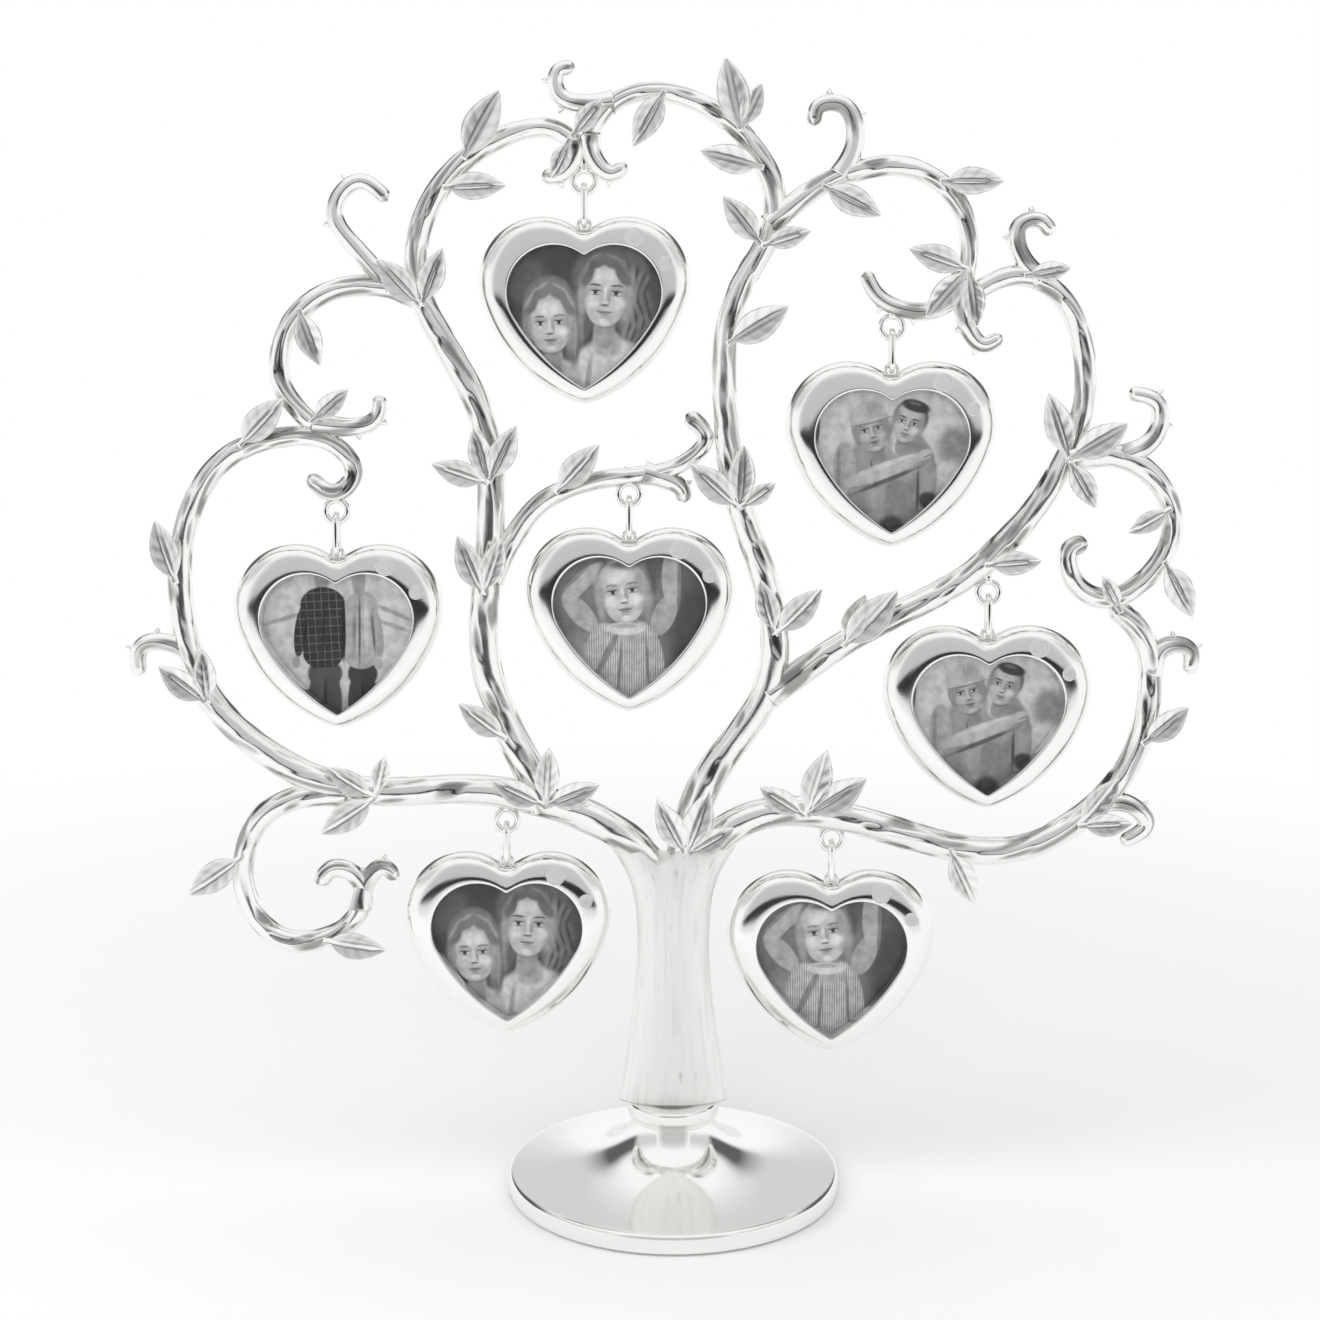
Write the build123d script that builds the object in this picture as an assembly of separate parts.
from build123d import *
import os
from math import atan2, cos, degrees, hypot, radians, sin, sqrt

# Photo tree stand. Millimetres; the floor is z = 0, +Z is up, +X is the viewer's right, the front is -Y.

# Round foot, felt and screw
foot_radius = 40.0
foot_rim_height = 5.0
foot_rim_round = 1.2
foot_height = 17.4
foot_neck_radius = 9.8
foot_slope_start = 0.10
foot_wall = 3.0
foot_boss_radius = 7.0
foot_boss_height = 4.6
felt_radius = 37.0
felt_thickness = 1.2
felt_recess_depth = 0.8
felt_fit = 0.1
screw_radius = 2.0
screw_head_radius = 3.6
screw_head_height = 2.2
screw_grip = 14.0
screw_hole_fit = 0.3
screw_thread_fit = 0.05

# Collar and trunk
collar_radius = 11.0
collar_height = 4.2
collar_round = 0.8
trunk_height = 62.0
trunk_foot_width = 26.2
trunk_foot_depth = 11.0
trunk_ankle_height = 8.0
trunk_ankle_width = 23.6
trunk_shin_height = 21.0
trunk_shin_width = 20.0
trunk_waist_height = 40.6
trunk_waist_width = 17.8
trunk_waist_depth = 9.2
trunk_neck_height = 51.0
trunk_neck_width = 19.0
trunk_crown_width = 22.0
trunk_crown_depth = 8.8
trunk_crown_dome = 3.0

# Boughs: thickness at the root, in the middle and at the tip
bough_left_low_thickness = (8.2, 6.6, 4.2)
left_scroll_thickness = (5.8, 5.2, 4.6)
bough_left_tall_thickness = (7.7, 6.6, 4.6)
left_arch_thickness = (5.0, 5.0, 4.6)
centre_arm_thickness = (5.4, 4.6, 4.0)
bough_centre_thickness = (8.4, 6.2, 4.4)
right_arch_thickness = (5.2, 4.8, 4.6)
bough_right_thickness = (6.4, 6.0, 4.6)
right_scroll_thickness = (5.8, 5.2, 4.6)
bough_right_low_thickness = (8.2, 6.6, 5.2)
tendril_thickness = (4.4, 4.2, 3.6)
limb_section_spacing = 9.0

# Leaves
leaf_thickness = 1.1
leaf_width_share = 0.5
leaf_stem_length = 1.8
leaf_stem_width = 1.4
leaf_seat_gap = 0.05

# Eyelets and hanging links
eyelet_ring_radius = 2.6
eyelet_wire_radius = 0.75
eyelet_post_radius = 0.9
link_wire_radius = 0.75
link_clearance = 0.3
link_length = 5.8

# Heart frames: the outline is two lobe circles that run into long side arcs
heart_lobe_radius = 15.0
heart_lobe_offset = 10.0
heart_lobe_height = 29.5
heart_side_blend = 15.0
heart_notch_round = 2.0
heart_tip_round = 4.0
heart_thickness = 6.6
heart_dome_round = 2.8
opening_lobe_radius = 11.0
opening_lobe_offset = 7.0
opening_lobe_height = 22.5
opening_side_blend = 30.0
opening_rise = 4.1
opening_notch_round = 1.0
opening_tip_round = 1.0
opening_edge_round = 0.8
pocket_margin = 1.8
pocket_depth = 3.0
pocket_fit = 0.1
window_thickness = 1.0
print_thickness = 0.4
back_notch_radius = 4.0
back_notch_share = 0.5
lug_rise = 1.6
lug_thickness = 1.4
lug_hole_clearance = 0.3
lug_wall = 0.8
lug_foot_depth = 2.4
stone_large_radius = 2.1
stone_large_offset = 11.8
stone_large_height = 39.6
stone_small_radius = 1.5
stone_small_offset = 19.0
stone_small_height = 33.4
stone_seat_depth = 0.8
stone_crown_height = 0.7
stone_table_share = 0.6
stone_fit = 0.05

# Heights that follow from the sizes above
foot_bottom_z = felt_thickness - felt_recess_depth
foot_top_z = foot_height
collar_top_z = foot_top_z + collar_height
fork_z = collar_top_z + trunk_height
foot_boss_z = felt_thickness + foot_boss_height

# Routes of the boughs, as (right, up) from the fork at the top of the trunk
route_bough_left_low = [
    (-3.5, -7), (-8, -1), (-17.5, 6), (-31, 11), (-48.5, 14), (-68, 13.5), (-85.5, 16.5), (-99.5, 24.5),
    (-110.5, 36), (-116, 51), (-117.5, 66.5), (-114, 82.5), (-106, 93.5), (-92, 98.5), (-80, 96.5),
    (-76, 89.5), (-80, 85.5), (-86.5, 89.5)]
route_left_scroll = [
    (-78, 13), (-88, 12.5), (-98.5, 7.5), (-103.5, -3.5), (-102, -14.5), (-94, -22.5), (-82, -21.5),
    (-75, -14), (-76.5, -7), (-82, -5.5), (-85.5, -9.5)]
route_bough_left_tall = [
    (-30, 10), (-34, 17.5), (-41, 32), (-45, 46), (-45, 60), (-43.5, 77), (-43.5, 93.5), (-47, 107.5),
    (-55, 122.5), (-60.5, 136), (-58.5, 150.5), (-49.5, 163), (-38.5, 169.5), (-27.5, 170.5), (-22, 166.5)]
route_left_arch = [
    (-59.5, 131.5), (-69, 134), (-82, 132.5), (-91.5, 123), (-92.5, 111), (-84.5, 101)]
route_centre_arm = [
    (-43.5, 65), (-39, 73), (-33, 81.5), (-22, 87.5), (-9, 89.5), (1.5, 92), (7.5, 98.5), (3, 104)]
route_bough_centre = [
    (2, -8), (4, 6), (10.5, 20), (19, 32), (24, 45), (23.5, 57.5), (19.5, 71), (15, 85), (12.5, 102.5),
    (12, 118), (16.5, 135.5), (22.5, 146), (23.5, 156), (16.5, 169), (6.5, 176.5), (-4.5, 179.5),
    (-14.5, 176.5), (-20.5, 168.5)]
route_right_arch = [
    (22.5, 148), (31, 155.5), (42.5, 161), (56.5, 161.5), (66.5, 154), (69.5, 142), (68, 133.5)]
route_bough_right = [
    (22.5, 37), (34, 45), (49.5, 54.5), (66.5, 63), (82, 77), (92.5, 92.5), (97, 107), (96, 122.5),
    (90, 133), (79.5, 136.5), (74, 134.5)]
route_right_scroll = [
    (93, 93), (102.5, 94.5), (114, 89), (118.5, 77), (113.5, 66), (103.5, 60), (95, 65), (94.5, 72),
    (98.5, 73.5)]
route_bough_right_low = [
    (5, -7), (11.5, 3), (24.5, 8.5), (40, 7.5), (59, 2), (78.5, -1), (96.5, 6), (109, 20), (114, 38.5),
    (111, 52.5), (104, 58.5)]

# Tendrils: what each one grows out of, and its route from the middle of that limb
tendril_routes = {
    "left_arch_curl": (["left_arch"], [(-66.5, 133.5), (-75, 143.5), (-79.5, 152.5), (-74, 158.5), (-67, 154)]),
    "left_arch_spur": (["left_arch", "bough_left_low"], [(-85, 102), (-77.5, 101), (-70.5, 103), (-69.5, 108.5)]),
    "left_scroll_curl": (["left_scroll"], [(-75.5, -15), (-73.5, -8), (-70, -5), (-66.5, -8)]),
    "centre_arm_drop": (["centre_arm"], [(-7, 90), (-1.5, 88.5), (2, 86), (2.5, 83)]),
    "top_curl": (["bough_centre"], [(-14, 177), (-21, 176.5), (-27, 179), (-27, 184), (-23, 185)]),
    "top_left_spur": (["bough_left_tall", "bough_centre"], [(-23, 168), (-23.5, 164), (-27, 160), (-31, 160)]),
    "top_right_spur": (["bough_centre", "bough_left_tall", "top_left_spur"],
                       [(-20, 169.5), (-18.5, 163.5), (-15, 160.5), (-11, 162.5)]),
    "right_arch_curl": (["right_arch"], [(39, 160), (42.5, 168.5), (39, 176.5), (33.5, 175.5), (33, 171.5)]),
    "right_arch_hook": (["right_arch"], [(68.2, 137), (63.5, 129.5), (55.5, 128.5), (48, 132), (45, 137.5)]),
    "right_arch_drop": (["right_arch", "right_arch_hook"], [(68.2, 135), (69, 125.5), (73, 120.5), (77.5, 122.5)]),
    "bough_right_curl": (["bough_right"], [(86.5, 135.5), (81.5, 142), (81.5, 148.5), (86, 149.5), (89, 146)]),
    "right_scroll_curl": (["right_scroll"], [(106, 94), (114, 99), (114.5, 106.5), (107.5, 109)]),
    "low_right_curl": (["bough_right_low"], [(101, 10), (109, 10.5), (113.5, 6), (107.5, 1)]),
    "right_side_curl": (["bough_right_low"], [(114, 42), (117.5, 48.5), (123, 48), (123, 42)]),
    "left_side_curl": (["bough_left_low"], [(-113.5, 45), (-119, 49), (-127, 48.5), (-127.5, 41.5)]),
}

# Leaves: the bough that carries each cluster, and the (foot, tip) of every leaf in it
leaf_clusters = [
    ("bough_left_tall", [((-49, 163.5), (-40.5, 179.5))]),
    ("bough_left_tall", [((-54, 157), (-39, 157.5))]),
    ("bough_left_tall", [((-59, 129.5), (-69.5, 140.5)), ((-59, 129.5), (-54, 143))]),
    ("left_arch", [((-88, 129), (-83, 115.5))]),
    ("left_arch", [((-85.5, 102), (-76.5, 110))]),
    ("bough_left_low", [((-102.5, 96.5), (-91.5, 108))]),
    ("bough_left_low", [((-117.5, 64), (-122.5, 79))]),
    ("bough_left_low", [((-110.5, 35.5), (-122, 44.5)), ((-110.5, 35.5), (-111.5, 48.5))]),
    ("bough_left_low", [((-71, 13), (-82.5, 20)), ((-71, 13), (-68.5, 23)), ((-71, 13), (-84, 4))]),
    ("left_scroll", [((-103, -1.5), (-116, -11))]),
    ("left_scroll", [((-84, -22), (-69, -24.5))]),
    ("bough_left_tall", [((-43.5, 88), (-57, 92.5)), ((-43.5, 88), (-47, 101)), ((-43.5, 88), (-37, 101.5))]),
    ("bough_left_tall", [((-45, 61.5), (-51, 75.5)), ((-45, 61.5), (-40.5, 75))]),
    ("bough_left_tall", [((-39.5, 27), (-51, 35.5))]),
    ("bough_left_low", [((-30.5, 11), (-43, 17)), ((-30.5, 11), (-29.5, 25)), ((-30.5, 11), (-17.5, 16))]),
    ("trunk", [((3, -1), (-4, 12.5)), ((3, -1), (8.5, 14.5)), ((3, -1), (14.5, 5.5))]),
    ("centre_arm", [((-28, 85.5), (-17.5, 97))]),
    ("bough_centre", [((15.5, 82), (4, 92.5)), ((15.5, 82), (16.5, 97)), ((15.5, 82), (24, 88))]),
    ("bough_centre", [((24, 52), (20.5, 65)), ((24, 52), (35, 63))]),
    ("bough_centre", [((12.5, 120.5), (27, 129.5))]),
    ("bough_centre", [((20.5, 143.5), (11.5, 155)), ((20.5, 143.5), (32, 147))]),
    ("bough_centre", [((-2, 179.5), (-9.5, 166.5))]),
    ("bough_centre", [((21, 161.5), (6, 165.5))]),
    ("bough_centre", [((15.5, 170), (12, 187)), ((15.5, 170), (20.5, 181))]),
    ("bough_left_tall", [((-24, 168.5), (-16.5, 177.5)), ((-24, 168.5), (-28.5, 159))]),
    ("right_arch", [((34.5, 157.5), (48.5, 150.5))]),
    ("right_arch", [((62, 158.5), (77, 158.5))]),
    ("right_arch", [((69, 138), (55, 143)), ((69, 138), (59, 127)), ((69, 138), (71, 124.5))]),
    ("bough_right", [((82, 136.5), (93, 138.5))]),
    ("right_scroll", [((93, 93.5), (88, 109)), ((93, 93.5), (107, 102)), ((93, 93.5), (99.5, 82))]),
    ("bough_right", [((73.5, 68.5), (87, 69.5))]),
    ("bough_right", [((40, 49), (45.5, 61.5)), ((40, 49), (53, 62.5))]),
    ("right_scroll", [((117.5, 82), (107.5, 76))]),
    ("right_scroll", [((116, 69.5), (123, 56))]),
    ("bough_right_low", [((106, 57), (101.5, 66))]),
    ("bough_right_low", [((111.5, 25.5), (122.5, 34.5))]),
    ("bough_right_low", [((96.5, 6), (106, 17.5)), ((96.5, 6), (109.5, 6.5))]),
    ("bough_right_low", [((66, 0.5), (72, -13))]),
    ("bough_right_low", [((31.5, 8.5), (36.5, 24.5)), ((31.5, 8.5), (46, 17.5)), ((31.5, 8.5), (20.5, 15.5))]),
]

# Hanging places: the eyelet's middle from the fork, the height where its post ends, and what carries it
hanging_places = {
    "top": ((-21, 158.5), 167, ["bough_left_tall", "bough_centre", "top_left_spur", "top_right_spur"]),
    "upper_right": ((51.5, 124.5), 129, ["right_arch_hook"]),
    "left": ((-80, 81), 85.5, ["bough_left_low"]),
    "centre": ((-10.5, 85), 89, ["centre_arm"]),
    "right": ((75, 61.5), 69, ["bough_right"]),
    "lower_left": ((-40, 6.5), 12.5, ["bough_left_low"]),
    "lower_right": ((38, 2), 7.5, ["bough_right_low"]),
}


def tree_point(spot):
    """A point of the tree's plane, from its distances right of and above the fork."""
    return Vector(spot[0], 0, fork_z + spot[1])


def limb_line(route):
    """Smooth centre line through a bough's route."""
    return Spline(*[tree_point(spot) for spot in route])


def limb_radius(thickness, share):
    """Half the bough's thickness at a share of its length."""
    root, middle, tip = thickness
    if share < 0.5:
        return (root + (middle - root) * share * 2) / 2
    return (middle + (tip - middle) * (share * 2 - 1)) / 2


def limb_solid(route, thickness):
    """A bough: round sections lofted along its route."""
    line = limb_line(route)
    steps = max(4, round(line.length / limb_section_spacing))
    sections = []
    for step in range(steps + 1):
        share = step / steps
        station = Plane(line @ share, x_dir=(0, 1, 0), z_dir=line % share)
        sections.append(station * Circle(limb_radius(thickness, share)))
    return loft(sections)


def seat(child, parents):
    """The child with its root cut to the surfaces of the limbs that it grows from."""
    for parent in parents:
        child = child - parent
    return max(child.solids(), key=lambda solid: solid.volume)


def nearest_radius(route, thickness, spot):
    """Half the bough's thickness where it passes closest to a spot."""
    line = limb_line(route)
    shares = [step / 100 for step in range(101)]
    target = tree_point(spot)
    share = min(shares, key=lambda value: (line @ value - target).length)
    return limb_radius(thickness, share)


def leaf_face(foot, tip):
    """A pointed leaf on a narrow stem, drawn in the tree's plane."""
    right, up = tip[0] - foot[0], tip[1] - foot[1]
    length = hypot(right, up)
    right, up = right / length, up / length

    def spot(along, across):
        return (foot[0] + right * along - up * across, fork_z + foot[1] + up * along + right * across)

    half = leaf_width_share * (length - leaf_stem_length) / 2
    shoulder = leaf_stem_length
    middle = shoulder + (length - shoulder) * 0.45
    left_edge = ThreePointArc(spot(shoulder, leaf_stem_width / 2), spot(middle, half), spot(length, 0))
    right_edge = ThreePointArc(spot(length, 0), spot(middle, -half), spot(shoulder, -leaf_stem_width / 2))
    stem = Polyline(
        spot(shoulder, -leaf_stem_width / 2), spot(-leaf_stem_width / 2, -leaf_stem_width / 2),
        spot(-leaf_stem_width / 2, leaf_stem_width / 2), spot(shoulder, leaf_stem_width / 2))
    return make_face([left_edge, right_edge, *stem.edges()])


def heart_face(lobe_radius, lobe_offset, lobe_height, blend, grow=0.0, notch_round=0.0, tip_round=0.0):
    """A heart with its tip at the origin; grow moves the whole outline outwards."""
    turn = radians(blend)
    end_x = lobe_offset + lobe_radius * cos(turn)
    end_y = lobe_height - lobe_radius * sin(turn)
    side_radius = (end_x ** 2 + end_y ** 2) / (2 * (end_x * cos(turn) - end_y * sin(turn)))
    side_x = end_x - side_radius * cos(turn)
    side_y = end_y + side_radius * sin(turn)
    lobe = lobe_radius + grow
    side = side_radius + grow
    notch = (0, lobe_height + sqrt(lobe ** 2 - lobe_offset ** 2))
    lobe_mid = (lobe_offset + lobe * cos(radians(40)), lobe_height + lobe * sin(radians(40)))
    lobe_end = (lobe_offset + lobe * cos(turn), lobe_height - lobe * sin(turn))
    tip = (0, side_y - sqrt(side ** 2 - side_x ** 2))
    side_mid_y = (lobe_end[1] + tip[1]) / 2
    side_mid = (side_x + sqrt(side ** 2 - (side_y - side_mid_y) ** 2), side_mid_y)
    right_lobe = ThreePointArc(notch, lobe_mid, lobe_end)
    right_side = ThreePointArc(lobe_end, side_mid, tip)
    halves = [right_lobe, right_side, mirror(right_lobe, Plane.YZ), mirror(right_side, Plane.YZ)]
    face = Sketch() + make_face([edge for half in halves for edge in half.edges()])
    if notch_round > 0:
        face = fillet(face.vertices().sort_by_distance(notch)[0], notch_round)
    if tip_round > 0:
        face = fillet(face.vertices().sort_by_distance(tip)[0], tip_round)
    return face


def heart_slab(face, depth, front):
    """A heart outline stood up in the tree's plane, from its front face backwards."""
    return extrude(Plane.XZ.offset(front) * face, -depth)


def opening_face(grow):
    """The heart-shaped opening, set at its height in the bezel."""
    face = heart_face(opening_lobe_radius, opening_lobe_offset, opening_lobe_height, opening_side_blend,
                      grow=grow, notch_round=opening_notch_round, tip_round=opening_tip_round)
    return Pos(0, opening_rise) * face


def turned(profile_edges):
    """A turned part about the upright axis."""
    return revolve(make_face(profile_edges), Axis.Z)


def flat_disc(radius, low, high):
    """A round plate between two heights."""
    return Pos(0, 0, low) * Cylinder(radius, high - low, align=(Align.CENTER, Align.CENTER, Align.MIN))


# Foot: rim, sloping top and trumpet neck, hollowed from below round a screw boss
def make_foot():
    rim = foot_radius - foot_rim_round
    outline = Polyline((0, 0, foot_top_z), (0, 0, foot_bottom_z), (foot_radius, 0, foot_bottom_z),
                       (foot_radius, 0, foot_rim_height - foot_rim_round))
    rounding = ThreePointArc(
        (foot_radius, 0, foot_rim_height - foot_rim_round),
        (rim + foot_rim_round * cos(radians(45)), 0, foot_rim_height - foot_rim_round * (1 - sin(radians(45)))),
        (rim, 0, foot_rim_height))
    flare = Spline((rim, 0, foot_rim_height), (foot_neck_radius, 0, foot_top_z),
                   tangents=((-1, 0, foot_slope_start), (-0.25, 0, 1)))
    top = Line((foot_neck_radius, 0, foot_top_z), (0, 0, foot_top_z))
    body = turned([*outline.edges(), rounding.edge(), flare.edge(), top.edge()])
    recess = flat_disc(felt_radius + felt_fit, foot_bottom_z, felt_thickness)
    hollow_height = foot_rim_height - foot_wall
    hollow = flat_disc(felt_radius - foot_wall, foot_bottom_z, felt_thickness + hollow_height)
    boss_space = flat_disc(foot_neck_radius + foot_wall * 2, foot_bottom_z, foot_boss_z)
    boss = flat_disc(foot_boss_radius, foot_boss_z, foot_top_z)
    hole = flat_disc(screw_radius + screw_hole_fit, foot_bottom_z, foot_top_z)
    return body - recess - hollow - (boss_space - boss) - hole


def make_screw():
    head = flat_disc(screw_head_radius, foot_boss_z - screw_head_height, foot_boss_z)
    shank = flat_disc(screw_radius, foot_boss_z, collar_top_z + screw_grip)
    return head + shank


def make_collar():
    ring = flat_disc(collar_radius, foot_top_z, collar_top_z)
    ring = fillet(ring.edges().filter_by(GeomType.CIRCLE), collar_round)
    return ring - flat_disc(screw_radius + screw_hole_fit, foot_top_z, collar_top_z)


# Trunk: oval sections, wide at the foot and at the crown, with a tapped hole for the screw
def make_trunk():
    stations = [
        (0, trunk_foot_width, trunk_foot_depth),
        (trunk_ankle_height, trunk_ankle_width, trunk_foot_depth),
        (trunk_shin_height, trunk_shin_width, (trunk_foot_depth + trunk_waist_depth) / 2),
        (trunk_waist_height, trunk_waist_width, trunk_waist_depth),
        (trunk_neck_height, trunk_neck_width, trunk_waist_depth),
        (trunk_height, trunk_crown_width, trunk_crown_depth),
        (trunk_height + trunk_crown_dome, trunk_crown_width / 2, trunk_crown_depth / 2),
    ]
    sections = [Pos(0, 0, collar_top_z + height) * Ellipse(width / 2, depth / 2)
                for height, width, depth in stations]
    hole = flat_disc(screw_radius + screw_thread_fit, collar_top_z, collar_top_z + screw_grip)
    return loft(sections) - hole


limbs = {
    "bough_left_low": (route_bough_left_low, bough_left_low_thickness, ["trunk"]),
    "left_scroll": (route_left_scroll, left_scroll_thickness, ["bough_left_low"]),
    "bough_left_tall": (route_bough_left_tall, bough_left_tall_thickness, ["bough_left_low"]),
    "left_arch": (route_left_arch, left_arch_thickness, ["bough_left_tall", "bough_left_low"]),
    "centre_arm": (route_centre_arm, centre_arm_thickness, ["bough_left_tall"]),
    "bough_centre": (route_bough_centre, bough_centre_thickness, ["trunk", "bough_left_low", "bough_left_tall"]),
    "right_arch": (route_right_arch, right_arch_thickness, ["bough_centre"]),
    "bough_right": (route_bough_right, bough_right_thickness, ["bough_centre", "right_arch"]),
    "right_scroll": (route_right_scroll, right_scroll_thickness, ["bough_right"]),
    "bough_right_low": (route_bough_right_low, bough_right_low_thickness,
                        ["trunk", "bough_left_low", "bough_centre", "right_scroll"]),
}


def make_tree():
    """The trunk and the boughs, each bough's root cut to what it grows from."""
    tree = {"trunk": make_trunk()}
    for name, (route, thickness, parents) in limbs.items():
        tree[name] = seat(limb_solid(route, thickness), [tree[parent] for parent in parents])
    return tree


def make_tendrils(tree):
    tendrils = {}
    for name, (parents, route) in tendril_routes.items():
        grown = {**tree, **tendrils}
        tendrils[name] = seat(limb_solid(route, tendril_thickness), [grown[parent] for parent in parents])
    return tendrils


def front_of(parent, spot):
    """How far forward of the tree's plane the parent reaches where a leaf's foot lies on it."""
    if parent == "trunk":
        return trunk_crown_depth / 2
    route, thickness, _ = limbs[parent]
    return nearest_radius(route, thickness, spot)


def make_leaves():
    leaves = []
    for parent, pairs in leaf_clusters:
        front = front_of(parent, pairs[0][0]) + leaf_seat_gap
        outline = Sketch() + [leaf_face(foot, tip) for foot, tip in pairs]
        leaves.append(extrude(Plane.XZ.offset(front) * outline, leaf_thickness))
    return leaves


def make_eyelets(grown):
    eyelets = []
    for spot, post_end, carriers in hanging_places.values():
        middle = tree_point(spot)
        ring = Plane(middle, x_dir=(1, 0, 0), z_dir=(0, -1, 0)) * Torus(eyelet_ring_radius, eyelet_wire_radius)
        post_low = middle.Z + eyelet_ring_radius
        post = Pos(middle.X, 0, post_low) * Cylinder(
            eyelet_post_radius, fork_z + post_end - post_low, align=(Align.CENTER, Align.CENTER, Align.MIN))
        eyelets.append(seat(ring + post, [grown[carrier] for carrier in carriers]))
    return eyelets


link_bend_radius = eyelet_wire_radius + link_clearance + link_wire_radius


def hanging_heights(spot):
    """Heights of the link's upper bend, of its lower bend, and of the lug's hole under it."""
    upper = fork_z + spot[1] - eyelet_ring_radius
    lower = upper - link_length
    return upper, lower, lower - link_bend_radius


def make_link(spot):
    upper, lower, _ = hanging_heights(spot)
    bend = link_bend_radius
    route = Wire([
        Line((spot[0], -bend, lower), (spot[0], -bend, upper)).edge(),
        ThreePointArc((spot[0], -bend, upper), (spot[0], 0, upper + bend), (spot[0], bend, upper)).edge(),
        Line((spot[0], bend, upper), (spot[0], bend, lower)).edge(),
        ThreePointArc((spot[0], bend, lower), (spot[0], 0, lower - bend), (spot[0], -bend, lower)).edge(),
    ])
    section = Plane((spot[0], -bend, lower), x_dir=(1, 0, 0), z_dir=(0, 0, 1)) * Circle(link_wire_radius)
    return sweep(section, path=route)


heart_notch_height = heart_lobe_height + sqrt(heart_lobe_radius ** 2 - heart_lobe_offset ** 2)
lug_height = heart_notch_height + lug_rise
lug_hole_radius = link_wire_radius + lug_hole_clearance
heart_front = heart_thickness / 2
pocket_floor = -heart_thickness / 2 + pocket_depth
back_thickness = pocket_depth - window_thickness - print_thickness
stone_places = [
    (stone_large_offset, stone_large_height, stone_large_radius),
    (stone_small_offset, stone_small_height, stone_small_radius),
]


def stone_seat(radius, depth, front):
    """A short round plug behind the bezel's front face."""
    return extrude(Plane.XZ.offset(front) * Circle(radius), -depth)


def make_bezel():
    outline = heart_face(heart_lobe_radius, heart_lobe_offset, heart_lobe_height, heart_side_blend,
                         notch_round=heart_notch_round, tip_round=heart_tip_round)
    body = heart_slab(outline, heart_thickness, heart_front)
    body = fillet(body.faces().sort_by(Axis.Y)[0].edges(), heart_dome_round)
    body = body - heart_slab(opening_face(0.0), heart_thickness, heart_front)
    body = fillet(body.faces().sort_by(Axis.Y)[0].inner_wires()[0].edges(), opening_edge_round)
    body = body - heart_slab(opening_face(pocket_margin), pocket_depth, pocket_floor)
    lug_radius = lug_hole_radius + lug_wall
    lug_eye = Pos(0, lug_height) * Circle(lug_radius)
    lug_stem_height = lug_rise + lug_foot_depth
    lug_stem = Pos(0, lug_height - lug_stem_height / 2) * Rectangle(lug_radius * 2, lug_stem_height)
    lug = heart_slab(lug_eye + lug_stem, lug_thickness, lug_thickness / 2)
    hole = heart_slab(Pos(0, lug_height) * Circle(lug_hole_radius), lug_thickness, lug_thickness / 2)
    body = body + lug - hole
    for right, up, radius in stone_places:
        body = body - Pos(right, 0, up) * stone_seat(radius + stone_fit, stone_seat_depth, heart_front)
    return body


def make_stones():
    stones = []
    for right, up, radius in stone_places:
        girdle = stone_seat(radius, stone_seat_depth, heart_front)
        crown = extrude(Plane.XZ.offset(heart_front) * Circle(radius), stone_crown_height,
                        taper=stone_taper(radius))
        stones.append(Pos(right, 0, up) * (girdle + crown))
    return stones


def stone_taper(radius):
    """The slope, in degrees, that brings a stone's crown in to its table."""
    return degrees(atan2(radius * (1 - stone_table_share), stone_crown_height))


def make_window():
    return heart_slab(opening_face(pocket_margin - pocket_fit), window_thickness, pocket_floor)


def make_print():
    return heart_slab(opening_face(pocket_margin - pocket_fit), print_thickness, pocket_floor - window_thickness)


def make_back():
    front = pocket_floor - window_thickness - print_thickness
    plate = heart_slab(opening_face(pocket_margin - pocket_fit), back_thickness, front)
    notch_height = opening_rise + opening_lobe_height
    notch = Plane.XZ.offset(front - back_thickness) * Pos(0, notch_height) * Circle(back_notch_radius)
    return plate - extrude(notch, back_thickness * back_notch_share)


def main():
    os.makedirs("parts", exist_ok=True)
    nodes = {
        "base_foot": make_foot(),
        "base_felt": flat_disc(felt_radius, 0, felt_thickness),
        "base_screw": make_screw(),
        "neck_collar": make_collar(),
    }
    tree = make_tree()
    nodes.update(tree)
    tendrils = make_tendrils(tree)
    nodes["tendrils"] = Compound(children=list(tendrils.values()))
    nodes["leaves"] = Compound(children=make_leaves())
    nodes["eyelets"] = Compound(children=make_eyelets({**tree, **tendrils}))
    pieces = {"bezel": make_bezel(), "window": make_window(), "print": make_print(), "back": make_back()}
    stones = make_stones()
    for place, (spot, _, _) in hanging_places.items():
        hole_height = hanging_heights(spot)[2]
        put = Pos(spot[0], 0, hole_height - lug_height)
        for piece, shape in pieces.items():
            nodes[f"heart_{piece}_{place}"] = put * shape
        nodes[f"heart_stones_{place}"] = Compound(children=[put * stone for stone in stones])
        nodes[f"hanger_link_{place}"] = make_link(spot)
    for name, shape in nodes.items():
        export_step(shape, f"parts/{name}.step")
    print(len(nodes), "nodes")


main()
